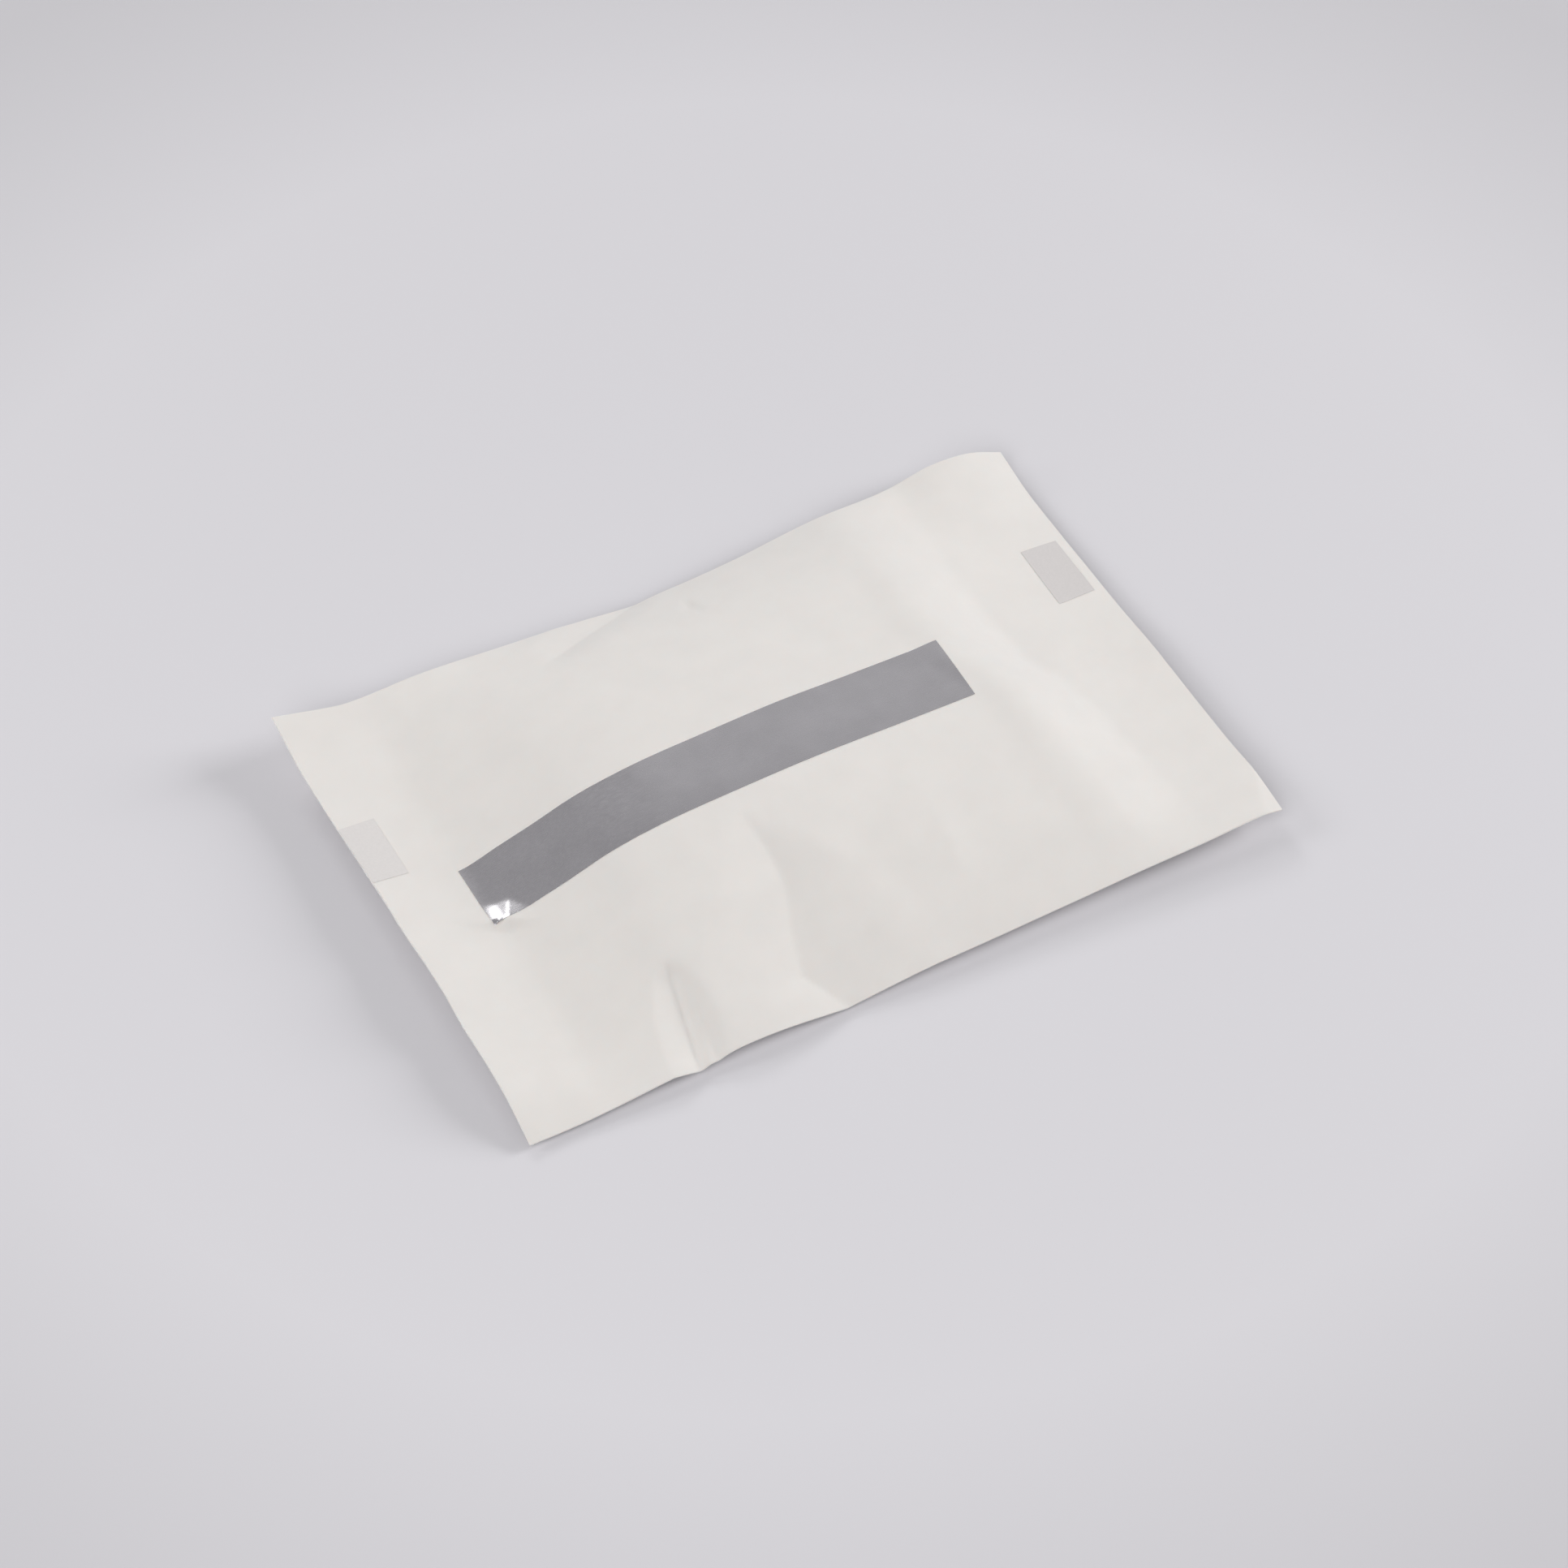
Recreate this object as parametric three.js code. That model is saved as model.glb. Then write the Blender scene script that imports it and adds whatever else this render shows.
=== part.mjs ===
import * as THREE from 'three';

// A shower cap, folded up in its paper sachet. The sachet lies on its back on the plane z = 0, with its
// length along x and its far side fold at positive y. Lengths are in millimetres.

// Sachet
const sachetLength = 105;
const sachetWidth = 70;
const crownHeight = 10.3;
const crownPlace = 2.5;
const paperThickness = 0.15;
const clearance = 0.3;
const waist = 0.7;

// End seals, and the slopes that lead up from them to the filled middle
const leftSealWidth = 10.5;
const leftSlopeLength = 23;
const rightSealWidth = 15.5;
const rightSlopeLength = 9;

// Heights of the front along the middle of the sachet
const leftEndHeight = 4.5;
const leftSealHeight = 3.3;
const shoulderHeight = 9.7;
const mouthHeight = 8.6;
const rightSealHeight = 3;
const rightEndHeight = 2.6;

// Heights of the two side folds along the sachet
const nearFoldLeftEnd = 1.2;
const nearFoldLeftSeal = 1.5;
const nearFoldShoulder = 2;
const nearFoldMouth = 2.9;
const nearFoldRightSeal = 3.3;
const nearFoldRightEnd = 3.9;
const farFoldLeftEnd = 7.8;
const farFoldLeftSeal = 4.8;
const farFoldShoulder = 4.5;
const farFoldMouth = 4.6;
const farFoldRightSeal = 5.2;
const farFoldRightEnd = 2.2;

// Fin seal of the back panel, folded flat
const finWidth = 10;
const finRamp = 1.7;

// Foil band on the front panel, from the left seal to short of the mouth
const bandMargin = 2.5;
const bandWidth = 10;
const foilThickness = 0.1;
const foilGap = 0.1;

// Printed registration marks on the end seals
const markWidth = 10;
const leftMarkLength = 4.8;
const leftMarkPlace = 12.2;
const rightMarkLength = 5.2;
const rightMarkPlace = 13.5;
const rightMarkMargin = 1.3;

// Folded crown film of the cap, from behind the left shoulder to the mouth
const capTail = 3;
const capWidth = 60;
const capClearance = 0.4;
const bendLength = 0.6;
const bendStagger = 2.4;

// Gathered hem of the cap, and its elastic
const hemRun = 34;
const hemTurnRadius = 3.2;
const hemRadius = 1.2;
const hemThickness = 0.2;
const gatherDepth = 0.1;
const elasticRadius = 0.5;

// Counts
const leafCount = 7;
const gatherCount = 14;
const stepsPerGather = 4;
const middleSteps = 8;
const endSteps = 3;
const capSteps = 12;
const bandSteps = 4;
const hemSides = 9;
const elasticSides = 6;

// Shares that shape the sections
const leftSlopeShares = [[0, 0], [0.17, 0.19], [0.43, 0.47], [0.7, 0.8], [1, 1]];
const acrossShares = [0, 0.16, 0.3, 0.43, 0.55, 0.65, 0.74, 0.82, 0.89, 0.95, 1];
const leafThicknessShare = 0.4;
const bendShares = [0, 1, 0.35, 0.75, 0.1, 0.9, 0.5];
const flatShare = 0.6;
const slitShare = 0.12;
const roundPower = 3;
const floorPower = 1.6;
const bellyPower = 1.5;

// Places along the sachet that follow from these sizes
const halfLength = sachetLength / 2;
const leftSealEdge = leftSealWidth - halfLength;
const leftShoulder = leftSealEdge + leftSlopeLength;
const rightSealEdge = halfLength - rightSealWidth;
const mouth = rightSealEdge - rightSlopeLength;
const slopePlaces = leftSlopeShares.map(([share]) => leftSealEdge + share * leftSlopeLength);
const bellyStart = slopePlaces[slopePlaces.length - 2];

// Depth of a side fold or a seal: two layers of paper with the clearance between them
const foldDepth = 2 * paperThickness + clearance;

const { clamp, lerp } = THREE.MathUtils;

function spread(from, to, steps) {
  return Array.from({ length: steps + 1 }, (_, step) => lerp(from, to, step / steps));
}

function throughTable(table, place) {
  const next = clamp(table.findIndex(([start]) => start > place), 1, table.length - 1);
  const last = place >= table[table.length - 1][0];
  const upper = last ? table.length - 1 : next;
  const [fromPlace, fromValue] = table[upper - 1];
  const [toPlace, toValue] = table[upper];
  return lerp(fromValue, toValue, clamp((place - fromPlace) / (toPlace - fromPlace), 0, 1));
}

// Outer form of the sachet

const nearFold = [
  [-halfLength, nearFoldLeftEnd],
  [leftSealEdge, nearFoldLeftSeal],
  [leftShoulder, nearFoldShoulder],
  [mouth, nearFoldMouth],
  [rightSealEdge, nearFoldRightSeal],
  [halfLength, nearFoldRightEnd],
];

const farFold = [
  [-halfLength, farFoldLeftEnd],
  [leftSealEdge, farFoldLeftSeal],
  [leftShoulder, farFoldShoulder],
  [mouth, farFoldMouth],
  [rightSealEdge, farFoldRightSeal],
  [halfLength, farFoldRightEnd],
];

// How far a section has opened, from 0 in the flat seals to 1 in the filled middle
function openShare(x) {
  const fromLeft = (x - leftSealEdge) / leftSlopeLength;
  const fromRight = (rightSealEdge - x) / rightSlopeLength;
  return clamp(Math.min(fromLeft, fromRight), 0, 1);
}

function halfWidth(x) {
  return sachetWidth / 2 - waist * openShare(x);
}

// Heights of the front and of the back along the middle
function ridgeHeight(x) {
  if (x < leftSealEdge) return lerp(leftSealHeight, leftEndHeight, (leftSealEdge - x) / leftSealWidth);
  if (x < leftShoulder) {
    const rise = throughTable(leftSlopeShares, (x - leftSealEdge) / leftSlopeLength);
    return lerp(leftSealHeight, shoulderHeight, rise);
  }
  if (x < crownPlace) {
    return lerp(crownHeight, shoulderHeight, ((crownPlace - x) / (crownPlace - leftShoulder)) ** 2);
  }
  if (x < mouth) return lerp(crownHeight, mouthHeight, ((x - crownPlace) / (mouth - crownPlace)) ** 2);
  if (x < rightSealEdge) return lerp(mouthHeight, rightSealHeight, (x - mouth) / rightSlopeLength);
  return lerp(rightSealHeight, rightEndHeight, (x - rightSealEdge) / rightSealWidth);
}

// How far the back has risen from the surface that the sachet lies on, from 0 to 1 at a seal
function bellyRise(x) {
  const left = clamp((bellyStart - x) / (bellyStart - leftSealEdge), 0, 1) ** bellyPower;
  const right = clamp((x - mouth) / rightSlopeLength, 0, 1);
  return Math.max(left, right);
}

function bellyHeight(x) {
  const leftSeal = ridgeHeight(Math.min(x, leftSealEdge));
  const rightSeal = ridgeHeight(Math.max(x, rightSealEdge));
  return ((x < crownPlace ? leftSeal : rightSeal) - foldDepth) * bellyRise(x);
}

function foldHeight(x, y) {
  return throughTable(y < 0 ? nearFold : farFold, x);
}

function frontHeight(x, y) {
  const across = clamp(Math.abs(y) / halfWidth(x), 0, 1);
  return lerp(ridgeHeight(x), foldHeight(x, y), across ** roundPower);
}

function backHeight(x, y) {
  const across = clamp(Math.abs(y) / halfWidth(x), 0, 1);
  const lifted = clamp((across - flatShare) / (1 - flatShare), 0, 1) ** floorPower;
  const rise = lerp(across ** roundPower, lifted, openShare(x));
  return lerp(bellyHeight(x), foldHeight(x, y) - foldDepth, rise);
}

// The far half of the back panel steps up over the folded fin seal, where the sachet rests on both
function farBackHeight(x, y) {
  const step = clamp((finWidth + clearance + finRamp - y) / finRamp, 0, 1);
  return backHeight(x, y) + foldDepth * step * (1 - bellyRise(x));
}

// Sections across the sachet, as outlines of the paper's outer face from the near side to the far side

function frontSection(x) {
  const half = halfWidth(x);
  const across = [...acrossShares.slice(1).map((share) => -share).reverse(), ...acrossShares];
  const face = across.map((share) => new THREE.Vector2(share * half, frontHeight(x, share * half)));
  const nearLip = new THREE.Vector2(-half, frontHeight(x, -half) - foldDepth);
  const farLip = new THREE.Vector2(half, frontHeight(x, half) - foldDepth);
  return [nearLip, ...face, farLip];
}

function backEdge(x) {
  return halfWidth(x) - paperThickness - clearance;
}

function nearBackSection(x) {
  const flat = -flatShare * halfWidth(x);
  const places = [...spread(-backEdge(x), flat, endSteps), flat / 2, -clearance];
  return places.map((y) => new THREE.Vector2(y, backHeight(x, y)));
}

function farBackSection(x) {
  const flat = flatShare * halfWidth(x);
  const stepEnd = finWidth + clearance;
  const places = [0, stepEnd / 2, stepEnd, stepEnd + finRamp, ...spread(flat, backEdge(x), endSteps)];
  return places.map((y) => new THREE.Vector2(y, farBackHeight(x, y)));
}

function finSection(x) {
  return spread(0, finWidth, endSteps).map((y) => {
    return new THREE.Vector2(y, farBackHeight(x, y) - foldDepth);
  });
}

// The outline moved sideways by a distance, square to its runs, to its left for a positive distance
function offsetOutline(outline, distance) {
  return outline.map((point, index) => {
    const before = outline[Math.max(index - 1, 0)];
    const after = outline[Math.min(index + 1, outline.length - 1)];
    const arriving = index > 0 ? point.clone().sub(before) : after.clone().sub(point);
    const leaving = index < outline.length - 1 ? after.clone().sub(point) : arriving.clone();
    const arrivingNormal = new THREE.Vector2(-arriving.y, arriving.x).normalize();
    const leavingNormal = new THREE.Vector2(-leaving.y, leaving.x).normalize();
    const mitre = arrivingNormal.clone().add(leavingNormal).normalize();
    return point.clone().addScaledVector(mitre, distance / mitre.dot(leavingNormal));
  });
}

// Solids

function signedVolume(positions, indices) {
  const corner = (index) => new THREE.Vector3().fromArray(positions, 3 * index);
  let sum = 0;
  for (let start = 0; start < indices.length; start += 3) {
    const [a, b, c] = indices.slice(start, start + 3).map(corner);
    sum += a.dot(b.cross(c));
  }
  return sum / 6;
}

function closedGeometry(points, quads) {
  const positions = points.flatMap((point) => point.toArray());
  const indices = quads.flatMap(([a, b, c, d]) => [a, b, c, a, c, d]);
  if (signedVolume(positions, indices) < 0) indices.reverse();
  const geometry = new THREE.BufferGeometry();
  geometry.setAttribute('position', new THREE.Float32BufferAttribute(positions, 3));
  geometry.setIndex(indices);
  geometry.computeVertexNormals();
  return geometry;
}

// A sheet between two faces, each a list of rows of points, closed along its four edges
function sheetGeometry(upperRows, lowerRows) {
  const rows = upperRows.length;
  const columns = upperRows[0].length;
  const upper = (row, column) => row * columns + column;
  const lower = (row, column) => rows * columns + upper(row, column);
  const quads = [];
  for (let row = 0; row < rows - 1; row += 1) {
    for (let column = 0; column < columns - 1; column += 1) {
      const corners = [[row, column], [row + 1, column], [row + 1, column + 1], [row, column + 1]];
      quads.push(corners.map(([i, j]) => upper(i, j)));
      quads.push([corners[0], corners[3], corners[2], corners[1]].map(([i, j]) => lower(i, j)));
    }
  }
  for (let row = 0; row < rows - 1; row += 1) {
    const last = columns - 1;
    quads.push([upper(row, 0), lower(row, 0), lower(row + 1, 0), upper(row + 1, 0)]);
    quads.push([upper(row + 1, last), lower(row + 1, last), lower(row, last), upper(row, last)]);
  }
  for (let column = 0; column < columns - 1; column += 1) {
    const last = rows - 1;
    quads.push([upper(0, column + 1), lower(0, column + 1), lower(0, column), upper(0, column)]);
    quads.push([upper(last, column), lower(last, column), lower(last, column + 1), upper(last, column + 1)]);
  }
  return closedGeometry([...upperRows.flat(), ...lowerRows.flat()], quads);
}

// A bar that closes on itself, as rows of points that go round its section
function ringGeometry(rows) {
  const columns = rows[0].length;
  const quads = rows.flatMap((_, row) => rows[0].map((__, column) => {
    const nextRow = (row + 1) % rows.length;
    const nextColumn = (column + 1) % columns;
    return [
      row * columns + column,
      nextRow * columns + column,
      nextRow * columns + nextColumn,
      row * columns + nextColumn,
    ];
  }));
  return closedGeometry(rows.flat(), quads);
}

// A stretch of the web, whose outer face follows the sections at the given places
function webGeometry(places, section, thickness) {
  const place = (x) => (point) => new THREE.Vector3(x, point.x, point.y);
  const outer = places.map((x) => section(x).map(place(x)));
  const inner = places.map((x) => offsetOutline(section(x), thickness).map(place(x)));
  return sheetGeometry(outer, inner);
}

function sealGeometry(places) {
  const face = places.map((x) => frontSection(x).slice(1, -1).map((point) => {
    return new THREE.Vector3(x, point.x, point.y);
  }));
  const under = face.map((row) => row.map((point) => point.clone().setZ(point.z - foldDepth)));
  return sheetGeometry(face, under);
}

// A skin on the front face, from one place along the sachet to another and between two places across
function skinGeometry(places, from, to) {
  const across = spread(from, to, bandSteps);
  const rows = (height) => places.map((x) => {
    return across.map((y) => new THREE.Vector3(x, y, frontHeight(x, y) + height));
  });
  return sheetGeometry(rows(foilGap + foilThickness), rows(foilGap));
}

const leftSealPlaces = spread(-halfLength, leftSealEdge, 2);
const middlePlaces = [...slopePlaces, ...spread(leftShoulder, mouth, middleSteps).slice(1)];
const slopeEndPlaces = spread(mouth, rightSealEdge, endSteps);
const rightSealPlaces = spread(rightSealEdge, halfLength, endSteps);

const bandEnd = mouth - bandMargin;
const bandPlaces = [...middlePlaces.filter((x) => x < bandEnd - clearance), bandEnd];

// Folded crown film

const capFront = mouth - clearance;
const capBack = leftShoulder - capTail;

function capCeiling(y) {
  return frontHeight(mouth, y) - paperThickness - capClearance;
}

function capFloor(y) {
  return backHeight(mouth, y) + foldDepth + paperThickness + capClearance;
}

// Leaves lie on each other from the floor up, joined by bends at alternate ends
function leafOutline(y) {
  const pitch = (capCeiling(y) - capFloor(y)) / (leafCount - 1 + leafThicknessShare);
  const thickness = leafThicknessShare * pitch;
  const overhang = bendLength + thickness / 2;
  const outline = [];
  let start = capBack;
  for (let leaf = 0; leaf < leafCount; leaf += 1) {
    const height = capFloor(y) + thickness / 2 + leaf * pitch;
    const towardsFront = leaf % 2 === 0;
    const stagger = bendStagger * bendShares[leaf];
    const front = capFront - overhang - stagger;
    const back = capBack + overhang + stagger;
    const end = towardsFront ? front : back;
    outline.push(new THREE.Vector2(start, height), new THREE.Vector2(end, height));
    start = end;
    if (leaf === leafCount - 1) break;
    for (const turn of [0.25, 0.5, 0.75]) {
      const angle = Math.PI * turn;
      const reach = bendLength * Math.sin(angle) * (towardsFront ? 1 : -1);
      const rise = (pitch / 2) * (1 - Math.cos(angle));
      outline.push(new THREE.Vector2(end + reach, height + rise));
    }
  }
  return { outline, thickness };
}

function crownFilmGeometry() {
  const stations = spread(-capWidth / 2, capWidth / 2, capSteps);
  const face = (side) => stations.map((y) => {
    const { outline, thickness } = leafOutline(y);
    return offsetOutline(outline, side * thickness / 2).map((point) => {
      return new THREE.Vector3(point.x, y, point.y);
    });
  });
  return sheetGeometry(face(1), face(-1));
}

// Hem and elastic: a loop behind the film, two straight runs across the sachet joined by half turns

const hemReach = hemRadius + gatherDepth;
const hemPlace = capBack - clearance - hemReach - hemTurnRadius;
const hemHeight = (frontHeight(hemPlace, hemRun / 2) + farBackHeight(hemPlace, 0)) / 2;

function loopPlace(share) {
  const turnLength = Math.PI * hemTurnRadius;
  const along = share * 2 * (hemRun + turnLength);
  const half = along < hemRun + turnLength ? 1 : -1;
  const local = half > 0 ? along : along - hemRun - turnLength;
  const centre = new THREE.Vector3(hemPlace, 0, hemHeight);
  if (local < hemRun) {
    const outward = new THREE.Vector3(half, 0, 0);
    const run = new THREE.Vector3(half * hemTurnRadius, half * (local - hemRun / 2), 0);
    return { centre: centre.add(run), outward };
  }
  const angle = (local - hemRun) / hemTurnRadius;
  const outward = new THREE.Vector3(half * Math.cos(angle), half * Math.sin(angle), 0);
  const run = outward.clone().multiplyScalar(hemTurnRadius).add(new THREE.Vector3(0, half * hemRun / 2, 0));
  return { centre: centre.add(run), outward };
}

function loopGeometry(steps, section) {
  const rows = Array.from({ length: steps }, (_, step) => {
    const { centre, outward } = loopPlace(step / steps);
    return section(step).map(([angle, radius]) => {
      const point = centre.clone().addScaledVector(outward, -radius * Math.cos(angle));
      point.z += radius * Math.sin(angle);
      return point;
    });
  });
  return ringGeometry(rows);
}

const hemSteps = gatherCount * stepsPerGather;

// The hem's film is turned over into a channel, which is open in a slit on the inside of the loop
function hemSection(step) {
  const gather = gatherDepth * Math.cos((2 * Math.PI * step) / stepsPerGather);
  const outerRadius = hemRadius + gather;
  const angles = spread(2 * Math.PI * slitShare, 2 * Math.PI * (1 - slitShare), hemSides);
  const outer = angles.map((angle) => [angle, outerRadius]);
  const inner = angles.map((angle) => [angle, outerRadius - hemThickness]).reverse();
  return [...outer, ...inner];
}

function elasticSection() {
  return spread(0, 2 * Math.PI, elasticSides).slice(0, -1).map((angle) => [angle, elasticRadius]);
}

// Finishes

function finish(color, roughness, metalness = 0) {
  return new THREE.MeshStandardMaterial({ color, roughness, metalness });
}

const paper = () => finish('#e1ddda', 0.75);
const foil = () => finish('#979597', 0.4, 0.6);
const ink = () => finish('#d3cfcd', 0.8);
const film = () => finish('#eef0f1', 0.3);
const rubber = () => finish('#f2f0ea', 0.6);

function piece(name, geometry, material) {
  const mesh = new THREE.Mesh(geometry, material);
  mesh.name = name;
  return mesh;
}

// Sachet, with its left end seal

const sachet = new THREE.Group();
const finPlaces = [...leftSealPlaces.slice(0, -1), ...middlePlaces];
sachet.add(
  piece('front_panel', webGeometry(middlePlaces, frontSection, -paperThickness), paper()),
  piece('back_panel_near', webGeometry(middlePlaces, nearBackSection, paperThickness), paper()),
  piece('back_panel_far', webGeometry(middlePlaces, farBackSection, paperThickness), paper()),
  piece('fin_seal', webGeometry(finPlaces, finSection, 2 * paperThickness), paper()),
  piece('left_end_seal', sealGeometry(leftSealPlaces), paper()),
  piece('foil_band', skinGeometry(bandPlaces, -bandWidth / 2, bandWidth / 2), foil()),
);
const leftMarkEnd = leftMarkLength - halfLength;
const leftMark = skinGeometry(
  spread(-halfLength, leftMarkEnd, 1),
  leftMarkPlace - markWidth / 2,
  leftMarkPlace + markWidth / 2,
);
sachet.add(piece('left_register_mark', leftMark, ink()));

// Right end, which tears off at the mouth

const tearStrip = new THREE.Group();
const stripFinPlaces = [...slopeEndPlaces.slice(0, -1), ...rightSealPlaces];
tearStrip.add(
  piece('tear_strip_front', webGeometry(slopeEndPlaces, frontSection, -paperThickness), paper()),
  piece('tear_strip_back_near', webGeometry(slopeEndPlaces, nearBackSection, paperThickness), paper()),
  piece('tear_strip_back_far', webGeometry(slopeEndPlaces, farBackSection, paperThickness), paper()),
  piece('tear_strip_fin', webGeometry(stripFinPlaces, finSection, 2 * paperThickness), paper()),
  piece('right_end_seal', sealGeometry(rightSealPlaces), paper()),
);
const rightMarkEnd = halfLength - rightMarkMargin;
const rightMark = skinGeometry(
  spread(rightMarkEnd - rightMarkLength, rightMarkEnd, 1),
  rightMarkPlace - markWidth / 2,
  rightMarkPlace + markWidth / 2,
);
tearStrip.add(piece('right_register_mark', rightMark, ink()));

// Folded cap

const cap = new THREE.Group();
cap.add(
  piece('crown_film', crownFilmGeometry(), film()),
  piece('cap_hem', loopGeometry(hemSteps, hemSection), film()),
  piece('cap_elastic', loopGeometry(hemSteps, elasticSection), rubber()),
);

const group = new THREE.Group();
group.add(sachet, tearStrip, cap);

export default group;
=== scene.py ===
"""Dresses the sachet of a folded shower cap: creased paper, foil band, film, hem, elastic and stage.

The tables of the paper's form are in millimetres, and are turned into metres where they are read. The
sachet lies on its back on z = 0, with its length along x and its far side fold at positive y.
"""

import math

import bpy
import numpy as np
from bpy.props import FloatProperty, FloatVectorProperty, IntProperty, PointerProperty
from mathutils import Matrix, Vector, noise


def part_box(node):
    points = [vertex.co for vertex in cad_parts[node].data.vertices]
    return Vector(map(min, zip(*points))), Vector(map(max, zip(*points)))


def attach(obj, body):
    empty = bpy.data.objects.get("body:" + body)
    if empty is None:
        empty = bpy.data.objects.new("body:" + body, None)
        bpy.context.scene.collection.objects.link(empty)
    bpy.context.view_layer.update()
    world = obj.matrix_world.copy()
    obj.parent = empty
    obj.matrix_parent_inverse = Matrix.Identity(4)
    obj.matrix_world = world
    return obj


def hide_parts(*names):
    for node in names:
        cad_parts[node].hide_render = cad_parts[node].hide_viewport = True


bl_info = {
    "name": "Sachet of a folded shower cap",
    "version": (1, 0, 0),
    "blender": (4, 5, 0),
    "location": "3D View > Sidebar > Sachet",
    "description": "Builds the paper, foil, film and stage of a sachet round its construction model",
    "category": "Add Mesh",
}

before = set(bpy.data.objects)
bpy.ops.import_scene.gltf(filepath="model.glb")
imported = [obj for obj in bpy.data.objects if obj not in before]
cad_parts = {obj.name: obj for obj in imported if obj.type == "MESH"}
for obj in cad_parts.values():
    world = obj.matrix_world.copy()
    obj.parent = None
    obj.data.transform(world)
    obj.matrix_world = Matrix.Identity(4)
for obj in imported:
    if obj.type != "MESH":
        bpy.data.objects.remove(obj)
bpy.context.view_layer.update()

MM = 0.001

# Places along and across the sachet, from the construction model

left_seal_low, left_seal_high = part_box("left_end_seal")
right_seal_low, right_seal_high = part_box("right_end_seal")
band_low, band_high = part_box("foil_band")
film_low, film_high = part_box("crown_film")
hem_low, hem_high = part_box("cap_hem")
elastic_low, elastic_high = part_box("cap_elastic")

left_end = left_seal_low.x
left_seal_edge = left_seal_high.x
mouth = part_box("tear_strip_front")[0].x
right_seal_edge = right_seal_low.x
right_end = right_seal_high.x
side = right_seal_high.y
fin_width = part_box("fin_seal")[1].y

# Curves and noise


def eased(share):
    """A share from 0 to 1 with a soft start and end."""
    return share * share * (3 - 2 * share)


def smooth_curve(table):
    """A smooth curve through the (place, value) rows of a table in millimetres, level past its ends."""
    places, values = np.array(table, float).T * MM
    slopes = np.gradient(values, places)

    def at(place):
        place = np.clip(place, places[0], places[-1])
        start = np.clip(np.searchsorted(places, place, side="right") - 1, 0, len(places) - 2)
        span = places[start + 1] - places[start]
        share = (place - places[start]) / span
        rise = eased(share)
        leave = share * (1 - share) ** 2 * span * slopes[start]
        arrive = share * share * (share - 1) * span * slopes[start + 1]
        return values[start] * (1 - rise) + values[start + 1] * rise + leave + arrive

    return at


def smooth_noise(x, y, length, seed):
    """Smooth noise from -1 to 1 over the plane, with waves of about the given length."""
    flat = [
        noise.noise(Vector((a, b, seed))) for a, b in zip((x / length).ravel(), (y / length).ravel())
    ]
    return np.array(flat).reshape(np.shape(x))


# Heights of the front along its middle: the left seal, and the filled middle with the right seal

left_seal_ridge_at = smooth_curve([(-52.5, 4.5), (-47, 3.7), (-44, 3.35), (-42, 3.25)])
middle_ridge_at = smooth_curve([
    (-42, 3.25), (-41, 3.35), (-39.5, 3.8), (-37, 4.7), (-32, 6.3), (-26, 8.4), (-19, 9.7), (-8, 10.3),
    (2.5, 10.5), (14, 10), (22, 9.7), (27.9, 9.5), (28.9, 9.1), (30, 8.4), (32.5, 6.6), (34.5, 5.1),
    (36, 4), (37.4, 3.2), (39.2, 2.75), (43, 2.4), (47, 2.45), (52.5, 2.6),
])

# How far the slope down to the right seal is shifted to the left, from the near side to the far one

right_skew_at = smooth_curve([
    (-35, -5.5), (-26, -4.8), (-18, -3.9), (-10, -3.4), (-4, -2.4), (2, -0.1), (8, 0.8), (23, 1.1),
    (35, 1.3),
])

# Heights of the two side folds, and how far they are drawn in

near_fold_at = smooth_curve([
    (-52.5, 1.1), (-47, 1), (-41, 1.3), (-34, 1.9), (-25, 2.3), (-18, 2.7), (-8, 2.3), (-2, 2.1),
    (6, 2.1), (20, 2.6), (31, 3.1), (41, 3.5), (48, 3.9), (52.5, 3.9),
])
far_fold_at = smooth_curve([
    (-52.5, 5.2), (-47, 5), (-41, 4.9), (-34, 5.2), (-23, 4.4), (-11, 3.7), (0, 3), (12, 3.4),
    (24, 4.5), (36, 4.4), (42, 5.4), (48, 4.6), (52.5, 2.4),
])
near_inset_at = smooth_curve([(-44, 0), (-25, 0.2), (0, 0.2), (25, 0.1), (40, 0)])
far_inset_at = smooth_curve([(-52.5, -0.9), (-44, 0), (-25, 0.3), (5, 0.8), (25, 0.3), (40, 0)])

# Heights of the two cut ends, from the near corner to the far one

left_cut_at = smooth_curve([
    (-35, 1.1), (-29, 3.5), (-24, 4.2), (-17, 4.2), (-13, 5), (-8, 5.1), (-1, 4.6), (3, 4.9),
    (10, 4.6), (18, 4.3), (27, 4.4), (35, 5.2),
])
right_cut_at = smooth_curve([
    (-35, 3.9), (-29, 4), (-22, 3.4), (-15, 3.2), (-4, 3), (5, 2.3), (12, 2), (21, 1.7),
    (28, 1.6), (35, 2.6),
])

# Creases of the front, each listed from one end to the other. A point holds its place x, y, the
# depth there, and how far the paper slopes to it on the left and on the right, as seen by someone who
# walks along it towards its first point. A ridge has a depth below zero.

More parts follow.
